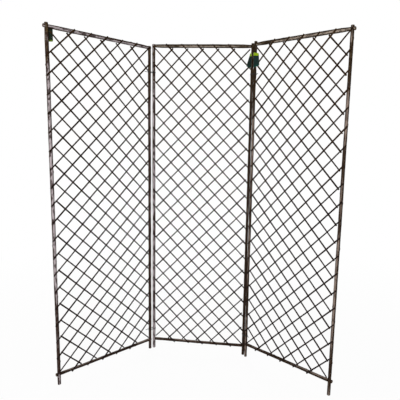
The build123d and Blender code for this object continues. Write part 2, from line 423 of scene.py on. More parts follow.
# Poles: ringed tubes with buds, slight bends, worn ends and half laps at the corners
poleValues = {
    "sides": 24,
    "step": 5 * mm,
    "bevel": 1.2 * mm,
    "firstRing": 1.6,             # in bevels from an end
    "trimmed": {"left_outer_stile": 9 * mm},  # sawn off the stile's top
    "lapHalf": 8.6 * mm,          # half length of a lap
    "lapClear": 1.2 * mm,         # no plain rings this near a lap's ends
    "lapGap": 0.1 * mm,           # a rail's flat behind the stile's
    "calmNear": 12 * mm,          # no bends or buds this near a lap
    "calmFar": 55 * mm,
    "tieNear": 14 * mm,           # the same at a wire tie
    "tieFar": 34 * mm,
    # The pale band along each pole is bleached bark with a painted highlight, turned towards the front
    "stileBand": 0.40,            # cosine at the edge of the pale band along a pole
    "railBand": 0.66,
    "bandWander": (0.35, 4),      # how far in radians and how fast it winds
    "paleStart": (0.14, 0.30),    # shares of the length where the paleness changes
    "paleEnd": (0.84, 0.93),
    "youngEnd": (0.80, 0.93),
    "bend": 1.1 * mm,
    "bendWave": 3.1,
    "ridges": 0.45 * mm,
    "broadRidges": (1.1, 22),     # waves round the pole and along it
    "fineRidges": (2.6, 75),
    "fineShare": 0.5,
    "budHeight": 1.9 * mm,
    "budLength": 5.5 * mm,
    "budEvery": 85 * mm,
    "budFirst": (0.3, 0.9),       # of that spacing
    "budGaps": (0.55, 1.35),
    "budSizes": (0.5, 1.0),
    "budTurn": math.radians(137.5),
    "budStray": 0.5,
    "budEdge": 2.2,               # in bud lengths, where a bud has died away
    "budFall": 1.6,
    "budNarrow": 6,
    "collar": 0.35 * mm,          # the swelling all round under a bud
    "collarFall": 2.5,
    "tones": (0.35, 0.65),
    "noiseSpread": 50,
    "barkSpread": 9,
    "railReach": {"left": (15.5 * mm, 7.5 * mm), "centre": (7.5 * mm, 7.5 * mm),
                  "right": (7.5 * mm, 15.5 * mm)},   # past the poles' axes
    "seed": 11,
}
samePlace = 1e-9


def smooth(value, low, high):
    share = min(max((value - low) / (high - low), 0), 1)
    return share * share * (3 - 2 * share)


def stationsOf(length, laps):
    v = poleValues
    count = max(2, round(length / v["step"]))
    clear = v["lapHalf"] + v["lapClear"]
    first = v["bevel"] * v["firstRing"]
    rings = [index * length / count for index in range(count + 1)]
    stations = [(t, False) for t in rings
                if all(abs(t - lap) > clear for lap in laps) and first < t < length - first]
    stations += [(0, False), (v["bevel"], False), (length - v["bevel"], False), (length, False)]
    for lap in laps:
        for t in (lap - v["lapHalf"], lap + v["lapHalf"]):
            if 0 < t < length:
                stations += [(t, False), (t, True)]
        stations.append((min(max(lap, 0), length), True))
    inLap = [tuple(min(max(lap + side * v["lapHalf"], 0), length) for side in (-1, 1)) for lap in laps]

    def order(station):
        t, cut = station
        for low, high in inLap:
            if abs(t - low) < samePlace:
                return (t, 1 if cut else 0)
            if abs(t - high) < samePlace:
                return (t, 0 if cut else 1)
        return (t, 0)

    stations = sorted(set(stations), key=order)
    return [(t, cut or any(low < t < high for low, high in inLap)) for t, cut in stations]


def budsOf(length, draw):
    v = poleValues
    buds = []
    t = draw.uniform(*v["budFirst"]) * v["budEvery"]
    turn = draw.uniform(0, 2 * math.pi)
    while t < length:
        buds.append((t, turn, draw.uniform(*v["budSizes"])))
        t += draw.uniform(*v["budGaps"]) * v["budEvery"]
        turn += v["budTurn"] + draw.uniform(-v["budStray"], v["budStray"])
    return buds


def budHeight(buds, t, angle):
    v = poleValues
    height = 0.0
    for budT, budAngle, size in buds:
        distance = abs(t - budT) / v["budLength"]
        if distance < v["budEdge"]:
            facing = max(0.0, math.cos(angle - budAngle)) ** v["budNarrow"]
            height += size * v["budHeight"] * math.exp(-distance * distance * v["budFall"]) * facing
            height += v["collar"] * size * math.exp(-distance * distance * v["collarFall"])
    return height


def buildPole(name, node, length, laps, lapSide, look, place, body, seed, tied=()):
    v = poleValues
    endRadius = [radius * mm for radius in look["radii"]]
    startPale, middlePale, endPale = look["pale"]
    startYoung, endYoung = look["young"]
    draw = random.Random(seed)
    sides = v["sides"]
    stations = stationsOf(length, laps)
    buds = budsOf(length, draw)
    offset = Vector([draw.uniform(-v["noiseSpread"], v["noiseSpread"]) for _ in range(3)])

    def wave(x, y, z):
        return noise.noise(offset + Vector((x, y, z)))

    vertices, places, paleSideAndHighlight, youth = [], [], [], []
    for t, cut in stations:
        calm = smooth(min(abs(t - lap) for lap in laps), v["calmNear"], v["calmFar"])
        for tie in tied:
            calm *= smooth(abs(t - tie), v["tieNear"], v["tieFar"])
        share = t / length
        radius = endRadius[0] + (endRadius[1] - endRadius[0]) * share
        radius = poleRadius + (radius - poleRadius) * calm
        if min(t, length - t) < samePlace:
            radius -= v["bevel"]
        bendX = wave(t * v["bendWave"], 0, 0) * v["bend"] * calm
        bendY = wave(0, t * v["bendWave"], 7) * v["bend"] * calm
        pale = middlePale + (startPale - middlePale) * (1 - smooth(share, *v["paleStart"]))
        pale += (endPale - middlePale) * smooth(share, *v["paleEnd"])
        young = startYoung + (endYoung - startYoung) * smooth(share, *v["youngEnd"])
        wander, windings = v["bandWander"]
        bandAngle = wander * wave(0, 3, t * windings)
        for side in range(sides):
            angle = 2 * math.pi * side / sides
            cosine, sine = math.cos(angle), math.sin(angle)
            ridge = 0.0
            for (around, along), height in ((v["broadRidges"], 1), (v["fineRidges"], v["fineShare"])):
                ridge += wave(cosine * around, sine * around, t * along) * v["ridges"] * height
            reach = radius + (ridge + budHeight(buds, t, angle)) * calm
            deep = sine * reach + bendY
            if cut:
                deep = min(deep, 0) if lapSide < 0 else max(deep, v["lapGap"])
            vertices.append((cosine * reach + bendX, deep, t))
            places.append((cosine * poleRadius, sine * poleRadius, t))
            # Pale side with painted highlight: lightest where the bark faces the front lamp, plus the pale
            # offset along the length
            facing = math.cos(angle - look["paleSideAngle"] - bandAngle)
            paleSideAndHighlight.append(smooth(facing, look["bandEdge"], 1.0) + pale)
            youth.append(young)
    faces = []
    last = (len(stations) - 1) * sides
    for ring in range(0, last, sides):
        for side in range(sides):
            a, b = ring + side, ring + (side + 1) % sides
            faces.append((a, b, b + sides, a + sides))
    for base, flip in ((0, True), (last, False)):
        middle = len(vertices)
        centre = sum((Vector(vertices[base + side]) for side in range(sides)), Vector()) / sides
        vertices.append(tuple(centre))
        places.append((0, 0, centre.z))
        paleSideAndHighlight.append(0.0)
        youth.append(0.0)
        for side in range(sides):
            a, b = base + side, base + (side + 1) % sides
            faces.append((b, a, middle) if flip else (a, b, middle))
    mesh = bpy.data.meshes.new(name)
    mesh.from_pydata(vertices, [], faces)
    shift = draw.uniform(-v["barkSpread"], v["barkSpread"])
    store(mesh, "barkPlace", [c for x, y, z in places for c in (x, y, z + shift)], "FLOAT_VECTOR")
    store(mesh, "paleSideAndHighlight", paleSideAndHighlight)
    store(mesh, "youth", youth)
    store(mesh, "tone", [draw.uniform(*v["tones"])] * len(vertices))
    store(mesh, "cutEnd", [0.0] * last + [1.0] * (len(faces) - last), domain="FACE")
    mesh.transform(place)
    mesh.materials.append(barks[look["bark"]])
    mesh.update()
    for polygon in mesh.polygons:
        polygon.use_smooth = polygon.index < last
    finishPiece(name, mesh, body, (node,))


# Bark, radii at the lower or left end and at the other, the pale side (bleached bark with a painted
# highlight) in degrees from the front towards the panel's right (stiles) or towards the top (rails), how pale
# the start, middle and end are, and how young the bark is at the start and the end
stileLooks = {
    "left_outer_stile": ("greyPole", (8.2, 9.0), -20, (-0.55, 0.05, -0.45), (0.1, 1.0)),
    "left_hinge_stile": ("greyPole", (8.6, 8.2), 40, (0.0, 0.05, -0.55), (0.0, 0.8)),
    "centre_left_stile": ("greyPole", (8.4, 8.4), 0, (0.05, 0.05, -0.35), (0.0, 0.7)),
    "centre_right_stile": ("brownPole", (8.2, 7.6), 10, (-0.35, -0.3, -0.75), (0.1, 0.8)),
    "right_hinge_stile": ("brownPole", (7.7, 7.6), 20, (-0.15, 0.06, -0.4), (0.2, 0.9)),
    "right_outer_stile": ("brownPole", (9.0, 8.6), 10, (0.05, 0.05, -0.08), (0.2, 0.9)),
}
railLooks = {
    "left_top_rail": ("greyPole", (9.7, 9.2), -20, (0.1, 0.1, 0.0), (0.6, 0.5)),
    "left_bottom_rail": ("brownPole", (7.7, 7.6), 60, (0.2, 0.2, 0.2), (0.1, 0.1)),
    "centre_top_rail": ("oliveRail", (10.0, 9.9), -16, (-0.05, -0.05, -0.05), (0.7, 0.5)),
    "centre_bottom_rail": ("brownPole", (8.0, 8.2), 70, (0.1, 0.1, 0.1), (0.1, 0.1)),
    "right_top_rail": ("oliveRail", (9.9, 10.3), -20, (0.05, 0.1, 0.1), (0.6, 0.4)),
    "right_bottom_rail": ("brownPole", (8.2, 8.5), 60, (0.0, 0.0, 0.0), (0.2, 0.3)),
}


def lookOf(values, sign, bandEdge):
    bark, radii, side, pale, young = values
    return {"bark": bark, "radii": radii, "paleSideAngle": sign * math.radians(side) - math.pi / 2,
            "pale": pale, "young": young, "bandEdge": bandEdge}


def tiesOn(node):
    if "outer" in node:
        return ()
    side = {"centre_left_stile": "left", "centre_right_stile": "right"}.get(node, node.split("_")[0])
    return tuple(middleOf(f"{side}_{level}_wire").z for level in ("bottom", "top"))


def makePoles():
    v = poleValues
    seed = v["seed"]
    for name, panel in panels.items():
        for index, node in enumerate(panel["stiles"]):
            look = lookOf(stileLooks[node], 1, v["stileBand"])
            place = panel["matrix"] @ Matrix.Translation((index * panel["width"], 0, 0))
            tall = panel["tops"][index] - v["trimmed"].get(node, 0)
            buildPole(f"{node}_pole", node, tall, panel["rails"], -1,
                      look, place, bodyOf[name], seed, tiesOn(node))
            seed += 1
        for level, height in zip(("bottom", "top"), panel["rails"]):
            node = f"{name}_{level}_rail"
            look = lookOf(railLooks[node], -1, v["railBand"])
            leftReach, rightReach = v["railReach"][name]
            length = panel["width"] + leftReach + rightReach
            laid = Matrix(((0, 0, 1, -leftReach), (0, 1, 0, 0), (-1, 0, 0, height), (0, 0, 0, 1)))
            buildPole(f"{node}_pole", node, length, (leftReach, leftReach + panel["width"]), 1,
                      look, panel["matrix"] @ laid, bodyOf[name], seed)
            seed += 1


makePoles()
print("poles made")

# Lattice rods
latticeValues = {
    "across": 6,
    "high": 19,
    "buttRadius": 4.0 * mm,
    "tipRadius": 3.1 * mm,
    "rodGap": 0.02 * mm,
    "backRodGap": 2.6 * mm,
    "railNubs": (8.6 * mm, 10.6 * mm),   # front rods past the axes of the lower and the upper rail
    # For each panel: outermost crossings in from its left, right, lower and upper pole,
    # how far front rods pass its left and right pole, and the way that they lean
    "insets": {"left": (14, 28, 32, 22), "centre": (17, 19, 26, 22), "right": (18, 18, 18, 24)},
    "nubs": {"left": (15.5 * mm, 0.0), "centre": (5.0 * mm, 0.0), "right": (0.0, 15.5 * mm)},
    "slopes": {"left": 1, "centre": -1, "right": 1},
    "barkSwell": {"left": 0.1 * mm, "centre": 0.05 * mm, "right": 0.25 * mm},   # coarser bark on the wings
    "sides": 9,
    "step": 9 * mm,
    "bend": 1.6 * mm,
    "bendWave": 4.5,
    "bendShares": (1.0, 0.12, 1.0),      # along the panel, in depth and in height
    "bendSpread": 90.0,
    "budSize": 0.9 * mm,
    "budSpacing": 43 * mm,
    "budShift": 0.37,             # in spacings, from one rod to the next
    "budTurn": 2.39996,
    "budSharp": 6.0,
    "budNarrow": 3.0,
    "barkRadius": 3 * mm,
    "barkShift": 1.61,
    "tones": (0.05, 0.95),
    "endShare": 1e-5,
    "firstNumber": 50,
    "seed": 5,
    "youngFrom": 0.9,             # heights in metres between which the bark turns younger and thicker
    "youngTo": 1.75,
    "youngSwell": 0.06,
}


def gridOf(panel):
    left, right, low, high = (inset * mm for inset in latticeValues["insets"][panel["name"]])
    return left, panel["width"] - right, panel["rails"][0] + low, panel["rails"][1] - high


def pitchesOf(panel):
    lowX, highX, lowZ, highZ = gridOf(panel)
    return (highX - lowX) / latticeValues["across"], (highZ - lowZ) / latticeValues["high"]


def crossingAt(column, row, panel):
    pitchX, pitchZ = pitchesOf(panel)
    lowX, _, lowZ, _ = gridOf(panel)
    return lowX + column * pitchX, lowZ + row * pitchZ


def rodEnds(slope, line, margins, panel):
    left, right, bottom, top = margins
    pitchX, pitchZ = pitchesOf(panel)
    diagonal = math.hypot(pitchX, pitchZ)
    runX, runZ = pitchX / diagonal, pitchZ / diagonal
    if slope > 0:
        column, row = max(line, 0), max(-line, 0)
    else:
        column, row = min(line, latticeValues["across"]), max(line - latticeValues["across"], 0)
    x, z = crossingAt(column, row, panel)
    lowX, highX = -left, panel["width"] + right
    nearX, farX = (lowX, highX) if slope > 0 else (highX, lowX)
    low = max((nearX - x) / (slope * runX), (panel["rails"][0] - bottom - z) / runZ)
    high = min((farX - x) / (slope * runX), (panel["rails"][1] + top - z) / runZ)
    return (x + slope * runX * low, z + runZ * low), (x + slope * runX * high, z + runZ * high)


def rodLines(panel, layer):
    v = latticeValues
    name = panel["name"]
    slope = v["slopes"][name] * -layer
    pitchX, pitchZ = pitchesOf(panel)
    endReach = v["buttRadius"] * pitchZ / math.hypot(pitchX, pitchZ)
    if layer < 0:
        nubs = [nub - endReach for nub in v["nubs"][name]]
        margins = (*nubs, *(nub - endReach for nub in v["railNubs"]))
    else:
        margins = (-(poleRadius + v["backRodGap"] + endReach),) * 4
    lines = range(1 - v["high"], v["across"]) if slope > 0 else range(1, v["across"] + v["high"])
    vertices, edges, tips, numbers = [], [], [], []
    for line in lines:
        low, high = rodEnds(slope, line, margins, panel)
        ends = (low, high) if line % 2 else (high, low)
        for (x, z), radius, tip in zip(ends, (v["buttRadius"], v["tipRadius"]), (0.0, 1.0)):
            vertices.append((x, -poleRadius + layer * (radius + v["rodGap"]), z))
            tips.append(tip)
            numbers.append(line + v["firstNumber"])
        edges.append((len(vertices) - 2, len(vertices) - 1))
    mesh = bpy.data.meshes.new("rod lines")
    mesh.from_pydata(vertices, edges, [])
    store(mesh, "tip", tips)
    store(mesh, "rodNumber", numbers, "INT")
    return mesh


def newTree(name, inputs):
    geometry = {"Geometry": "Geometry"}
    return newGroup(name, "GeometryNodeTree", {**geometry, **inputs}, geometry)


def closeTree(tree, made, material):
    real = addNode(tree, "GeometryNodeRealizeInstances", {"Geometry": made.outputs[0]})
    painted = addNode(tree, "GeometryNodeSetMaterial", {"Geometry": real.outputs[0], "Material": material})
    closeGroup(tree, {"Geometry": painted.outputs[0]})


def rodInputs(name, seed):
    v = latticeValues
    swell = v["barkSwell"][name]
    return {"Butt Radius": v["buttRadius"] + swell, "Tip Radius": v["tipRadius"] + swell, "Bend": v["bend"],
            "Bud Size": v["budSize"], "Bud Spacing": v["budSpacing"], "Step": v["step"], "Sides": v["sides"],
            "Young From": v["youngFrom"], "Young To": v["youngTo"], "Young Swell": v["youngSwell"],
            "Seed": seed, "Bark": barks["rod"]}


def makeRodTree(inputs):
    v = latticeValues
    tree, given, sockets = newTree("lattice rods", inputs)

    def named(title, kind):
        return outputOf(addNode(tree, "GeometryNodeInputNamedAttribute", {"Name": title}, data_type=kind))

    number, tip = named("rodNumber", "INT"), named("tip", "FLOAT")

    def randomOf(low, high, extra):
        inputs = {"Min": low, "Max": high, "ID": number, "Seed": plus(tree, given["Seed"], extra)}
        return outputOf(addNode(tree, "FunctionNodeRandomValue", inputs, data_type="FLOAT"))

    def capture(source, kind, values):
        node = addNode(tree, "GeometryNodeCaptureAttribute", {"Geometry": source.outputs[0]}, domain="POINT")
        for title in values:
            node.capture_items.new(kind, title)
        for index, socket in enumerate(values.values()):
            tree.links.new(socket, node.inputs[index + 1])
        return node.outputs[:len(values) + 1]

    curve = addNode(tree, "GeometryNodeMeshToCurve", {"Mesh": given["Geometry"]}).outputs[0]
    spaced = {"Curve": curve, "Length": given["Step"]}
    curve = addNode(tree, "GeometryNodeResampleCurve", spaced, mode="LENGTH")
    position = addNode(tree, "GeometryNodeInputPosition").outputs[0]
    start = vectorFrom(tree, randomOf(0.0, v["bendSpread"], 1), 0.0, 0.0)
    where = vectorCalc(tree, "ADD", scaled(tree, position, v["bendWave"]), start)
    wave = noiseTexture(tree, where, 1.0, 1.0).outputs[1]
    sway = vectorCalc(tree, "SUBTRACT", wave, (0.5, 0.5, 0.5))
    sway = vectorCalc(tree, "MULTIPLY", sway, v["bendShares"])
    envelope = times(tree, times(tree, tip, minus(tree, 1.0, tip)), 4.0)   # straight at both ends
    amount = times(tree, times(tree, given["Bend"], 2.0), calc(tree, "SQRT", envelope))
    bent = addNode(tree, "GeometryNodeSetPosition", {
        "Geometry": curve.outputs[0], "Offset": scaled(tree, sway, amount)})

    spline = addNode(tree, "GeometryNodeSplineParameter").outputs
    height = addNode(tree, "ShaderNodeSeparateXYZ", {"Vector": position}).outputs[2]
    path, length, factor, ownNumber, ownTone, youth = capture(bent, "FLOAT", {
        "Length": spline["Length"], "Factor": spline["Factor"], "Number": number,
        "Tone": randomOf(*v["tones"], 2),
        "Youth": ramp(tree, height, given["Young From"], given["Young To"])})
    circle = addNode(tree, "GeometryNodeCurvePrimitiveCircle", {"Resolution": given["Sides"], "Radius": 1.0})
    profile, around = capture(circle, "VECTOR", {"Round": position})

    spread = minus(tree, given["Tip Radius"], given["Butt Radius"])
    radius = plus(tree, given["Butt Radius"], times(tree, spread, tip))
    radius = times(tree, radius, plus(tree, 1.0, times(tree, youth, given["Young Swell"])))
    tube = addNode(tree, "GeometryNodeCurveToMesh", {
        "Curve": path, "Profile Curve": profile, "Scale": radius, "Fill Caps": True})

    # Buds sit on turns of 137.5 degrees, as leaves do on a shoot
    steps = calc(tree, "DIVIDE", length, given["Bud Spacing"])
    steps = plus(tree, steps, times(tree, ownNumber, v["budShift"]))
    phase = minus(tree, calc(tree, "FRACT", steps), 0.5)
    pulse = minus(tree, 1.0, times(tree, calc(tree, "ABSOLUTE", phase), v["budSharp"]), clamp=True)
    budAngle = plus(tree, times(tree, calc(tree, "FLOOR", steps), v["budTurn"]), ownNumber)
    facing = vectorFrom(tree, calc(tree, "COSINE", budAngle), calc(tree, "SINE", budAngle), 0.0)
    toward = vectorCalc(tree, "DOT_PRODUCT", around, facing)
    lobe = calc(tree, "POWER", calc(tree, "MAXIMUM", toward, 0.0), v["budNarrow"])
    grow = times(tree, times(tree, times(tree, lobe, pulse), pulse), given["Bud Size"])
    normal = addNode(tree, "GeometryNodeInputNormal").outputs[0]
    made = addNode(tree, "GeometryNodeSetPosition", {
        "Geometry": tube.outputs[0], "Offset": scaled(tree, normal, grow)})

    lift = vectorFrom(tree, 0.0, 0.0, plus(tree, times(tree, ownNumber, v["barkShift"]), length))
    barkPlace = vectorCalc(tree, "ADD", scaled(tree, around, v["barkRadius"]), lift)
    isEnd = plus(tree, calc(tree, "LESS_THAN", factor, v["endShare"]),
                 calc(tree, "GREATER_THAN", factor, 1 - v["endShare"]))
    for title, value, kind, domain in (
            ("barkPlace", barkPlace, "FLOAT_VECTOR", "POINT"), ("tone", ownTone, "FLOAT", "POINT"),
            ("youth", youth, "FLOAT", "POINT"), ("cutEnd", isEnd, "FLOAT", "FACE")):
        inputs = {"Geometry": made.outputs[0], "Name": title, "Value": value}
        made = addNode(tree, "GeometryNodeStoreNamedAttribute", inputs, data_type=kind, domain=domain)
    closeTree(tree, made, given["Bark"])
    return tree, sockets


def meshFromTree(tree, sockets, source, values, place):
    holder = addObject("holder", source)
    modifier = holder.modifiers.new("made", "NODES")
    modifier.node_group = tree
    for title, value in values.items():
        modifier[sockets[title]] = value
    bpy.context.view_layer.update()
    graph = bpy.context.evaluated_depsgraph_get()
    mesh = bpy.data.meshes.new_from_object(holder.evaluated_get(graph), preserve_all_data_layers=True,
                                           depsgraph=graph)
    holder.modifiers.remove(modifier)
    bpy.data.objects.remove(holder)
    mesh.transform(place)
    return mesh


def makeRods():
    seed = latticeValues["seed"]
    tree, sockets = makeRodTree(rodInputs("centre", seed))
    for name, panel in panels.items():
        for layer, title in ((-1, "face"), (1, "back")):
            values = rodInputs(name, seed)
            mesh = meshFromTree(tree, sockets, rodLines(panel, layer), values, panel["matrix"])
            for polygon in mesh.polygons:
                polygon.use_smooth = len(polygon.vertices) == 4
            node = f"{name}_{title}_rods"
            finishPiece(f"{node}_lattice", mesh, bodyOf[name], (node,))
            print(node, "faces", len(mesh.polygons))
            seed += 1


makeRods()
print("rods made")

# Tacks at the lattice crossings
tackValues = {
    "radius": 1.7 * mm,
    "topShare": 0.55,
    "height": 0.7 * mm,
    "sides": 8,
    "sink": 0.15 * mm,
    "tilt": 0.25,
    "spin": 6.283,
    "sizes": (0.8, 1.15),
    "sizeSeed": 7,
    "seed": 3,
}


def tackPoints(panel):
    v = latticeValues
    points = []
    front = -poleRadius - (v["buttRadius"] + v["tipRadius"])
    for row in range(2 * v["high"] + 1):
        for column in range(2 * v["across"] + 1):
            corner = row in (0, 2 * v["high"]) and column in (0, 2 * v["across"])
            if (row + column) % 2 == 0 and not corner:
                x, z = crossingAt(column / 2, row / 2, panel)
                points.append((x, front + tackValues["sink"], z))
    mesh = bpy.data.meshes.new("tack points")
    mesh.from_pydata(points, [], [])
    return mesh


def makeTackTree(inputs):
    v = tackValues
    tree, given, sockets = newTree("lattice tacks", inputs)
    head = addNode(tree, "GeometryNodeMeshCone", {
        "Vertices": given["Sides"], "Radius Bottom": given["Head Radius"], "Depth": given["Head Height"],
        "Radius Top": times(tree, given["Head Radius"], v["topShare"])})
    lean = times(tree, given["Tilt"], -1.0)
    wobble = outputOf(addNode(tree, "FunctionNodeRandomValue", {
        "Min": vectorFrom(tree, lean, lean, 0.0), "Seed": given["Seed"],
        "Max": vectorFrom(tree, given["Tilt"], given["Tilt"], v["spin"])}, data_type="FLOAT_VECTOR"))
    turned = vectorCalc(tree, "ADD", wobble, (math.pi / 2, 0, 0))
    least, most = v["sizes"]
    size = outputOf(addNode(tree, "FunctionNodeRandomValue", {
        "Min": least, "Max": most, "Seed": plus(tree, given["Seed"], v["sizeSeed"])}, data_type="FLOAT"))
    placed = addNode(tree, "GeometryNodeInstanceOnPoints", {
        "Points": given["Geometry"], "Instance": head.outputs[0], "Rotation": turned, "Scale": size})
    closeTree(tree, placed, given["Steel"])
    return tree, sockets


# Steel of the wires, nails and tacks
steelLooks = {
    "tieWire": {"clean": colour(0.020, 0.018, 0.017), "dull": colour(0.007, 0.006, 0.006),
                "metal": 0.1, "rough": 0.55},
    "nailSteel": {"clean": colour(0.16, 0.15, 0.14), "dull": colour(0.09, 0.05, 0.03),
                  "metal": 0.7, "rough": 0.5},
    "tackSteel": {"clean": colour(0.07, 0.06, 0.055), "dull": colour(0.04, 0.025, 0.02),
                  "metal": 0.5, "rough": 0.55},
}
steelPattern = {
    "scale": 260.0,
    "detail": 4.0,
    "dullEdge": (0.42, 0.62),
    "roughEdge": (0.3, 0.7),
    "smoother": 0.1,
    "rougher": 0.2,
    "bump": (0.3, 0.1 * mm),
}


def makeSteel(name, look):
    v = steelPattern
    material, tree, surface = newMaterial(name)
    place = addNode(tree, "ShaderNodeTexCoord").outputs["Object"]
    tarnish = noiseTexture(tree, place, v["scale"], v["detail"]).outputs[0]
    shade = mixColours(tree, ramp(tree, tarnish, *v["dullEdge"]), look["clean"], look["dull"])
    rough = ramp(tree, tarnish, *v["roughEdge"], look["rough"] - v["smoother"], look["rough"] + v["rougher"])
    feed(tree, surface, {"Base Color": shade, "Roughness": rough, "Normal": bumpOf(tree, v["bump"], tarnish)})
    surface.inputs["Metallic"].default_value = look["metal"]
    return material


steels = {name: makeSteel(name, look) for name, look in steelLooks.items()}


def tackInputs(seed):
    v = tackValues
    return {"Head Radius": v["radius"], "Head Height": v["height"], "Sides": v["sides"], "Tilt": v["tilt"],
            "Seed": seed, "Steel": steels["tackSteel"]}


def makeTacks():
    seed = tackValues["seed"]
    tree, sockets = makeTackTree(tackInputs(seed))
    for name, panel in panels.items():
        mesh = meshFromTree(tree, sockets, tackPoints(panel), tackInputs(seed), panel["matrix"])
        finishPiece(f"{name}_tacks", mesh, bodyOf[name])
        print(name, "tack faces", len(mesh.polygons))
        seed += 1


makeTacks()
print("tacks made")

# Blank swing cards on pins
cardValues = {
    "thickness": 0.5 * mm,
    "cornerRadius": 4 * mm,
    "mostCut": 0.4,               # of the width, the most that a rounded corner takes
    "rows": 24,
    "columns": 12,
    "edgeRow": 0.008,             # shares of the height and width to the first row and column
    "edgeColumn": 0.02,
    "curl": 0.6 * mm,             # how far the lower edge lifts off
    "gloss": 0.06,
    "bump": (0.15, 0.0001),
    "pinSides": 12,
    "pinShaft": 0.6 * mm,
    "pinHead": 2.0 * mm,
    "headHeight": 0.55 * mm,
    "headProfile": ((0, 0.0), (0, 0.35), (0.25, 0.8), (0.6, 1), (1, 0.9)),  # shares down and out
    "pinPoint": 2,                # in shaft radii
    # Corners from the top left clockwise, and the pin, as (x, z) on the panel in mm; the near
    # face's depth and the pin's length in mm; and the way that the card faces
    "cards": {
        "joint_card_left": {
            "panel": "centre", "corners": ((547.5, 1767.4), (556, 1770), (556, 1688.4), (527.2, 1697.6)),
            "pin": (553.2, 1762), "depth": -17.5, "facing": -1, "pinLength": 13.5, "look": "jointCardShaded"},
        "joint_card_right": {
            "panel": "right", "corners": ((-1, 1768), (36.2, 1761.2), (43.2, 1697.5), (4, 1688.8)),
            "pin": (2.2, 1761), "depth": -17.5, "facing": -1, "pinLength": 11.0, "look": "jointCard"},
        "corner_card": {
            "panel": "left", "corners": ((10, 1797), (33, 1804), (33, 1730), (10, 1726)),
            "pin": (21, 1796), "depth": 9.3, "facing": 1, "pinLength": 3.4, "look": "cornerCard"},
    },
}
printValues = {
    "cloudScale": 60.0,
    "cloudDetail": 3.0,
    "fibreScale": 900.0,
    "fibreDetail": 2.0,
    "waver": 0.02,                # of the card's height, in the edges of the printed bands
    "topBlur": 0.008,
    "footBlur": 0.03,
    "cloudShades": (0.3, 0.7, 0.82, 1.15),
    "scuffEdge": (0.60, 0.75),
    "scuff": 0.03,
    "rimEdge": (0.3, 0.6),
    "roughness": (0.3, 0.7, 0.55, 0.75),
}
cardLooks = {
    "jointCard": {"Top": colour(0.27, 0.42, 0.010), "Body": colour(0.010, 0.026, 0.022),
                  "Foot": colour(0.003, 0.050, 0.036), "Top Share": 0.20, "Foot Share": 0.10},
    # The next look is the same print as jointCard, painted darker: painted shade on the left leaf, which
    # turns away from the light
    "jointCardShaded": {"Top": colour(0.20, 0.33, 0.012), "Body": colour(0.006, 0.015, 0.012),
                      "Foot": colour(0.003, 0.024, 0.017), "Top Share": 0.22, "Foot Share": 0.08},
    "cornerCard": {"Top": colour(0.022, 0.030, 0.020), "Body": colour(0.016, 0.024, 0.017),
                   "Foot": colour(0.14, 0.22, 0.012), "Top Share": 0.10, "Foot Share": 0.09},
}


def makeCardGroup():
    group, given, _ = newGroup("plain printed card", "ShaderNodeTree", {
        "Place": "Vector",
        "Rim": 0.0,
        "Top": colour(0.35, 0.5, 0.02),
        "Body": colour(0.02, 0.04, 0.03),
        "Foot": colour(0.01, 0.08, 0.06),
        "Board": colour(0.42, 0.40, 0.36),
        "Top Share": 0.2,
        "Foot Share": 0.1,
    }, surfaceOutputs)
    v = printValues
    height = addNode(group, "ShaderNodeSeparateXYZ", {"Vector": given["Place"]}).outputs[1]
    flat = vectorCalc(group, "MULTIPLY", given["Place"], (1, 0, 1))
    cloud = noiseTexture(group, flat, v["cloudScale"], v["cloudDetail"]).outputs[0]
    fibre = noiseTexture(group, flat, v["fibreScale"], v["fibreDetail"]).outputs[0]
    wavy = plus(group, height, times(group, minus(group, cloud, 0.5), v["waver"]))
    topLine, footLine = minus(group, 1.0, given["Top Share"]), given["Foot Share"]
    topMask = ramp(group, wavy, minus(group, topLine, v["topBlur"]), plus(group, topLine, v["topBlur"]))
    footMask = ramp(group, wavy, plus(group, footLine, v["footBlur"]), minus(group, footLine, v["footBlur"]))
    bands = mixColours(group, topMask, given["Body"], given["Top"])
    bands = mixColours(group, footMask, bands, given["Foot"])
    bands = scaled(group, bands, ramp(group, cloud, *v["cloudShades"]))
    scuff = times(group, ramp(group, fibre, *v["scuffEdge"]), v["scuff"])
    worn = calc(group, "MAXIMUM", scuff, times(group, given["Rim"], ramp(group, fibre, *v["rimEdge"])))
    final = mixColours(group, worn, bands, given["Board"])
    roughness = ramp(group, cloud, *v["roughness"])
    return closeGroup(group, {"Color": final, "Roughness": roughness, "Height": fibre})


cardGroup = makeCardGroup()
cardAttributes = {"Place": ("cardPlace", "Vector"), "Rim": ("rim", "Fac")}
cardMaterials = {
    name: groupMaterial(name, cardGroup, cardAttributes, look, cardValues["bump"], cardValues["gloss"])
    for name, look in cardLooks.items()}


def finishShape(name, shape, panelName, material):
    bmesh.ops.recalc_face_normals(shape, faces=shape.faces)
    mesh = bpy.data.meshes.new(name)
    shape.to_mesh(mesh)
    shape.free()
    mesh.transform(panels[panelName]["matrix"])
    mesh.materials.append(material)
    finishPiece(name, mesh, bodyOf[panelName])


def sharesOf(count, edge):
    return [0, edge] + [index / count for index in range(1, count)] + [1 - edge, 1]


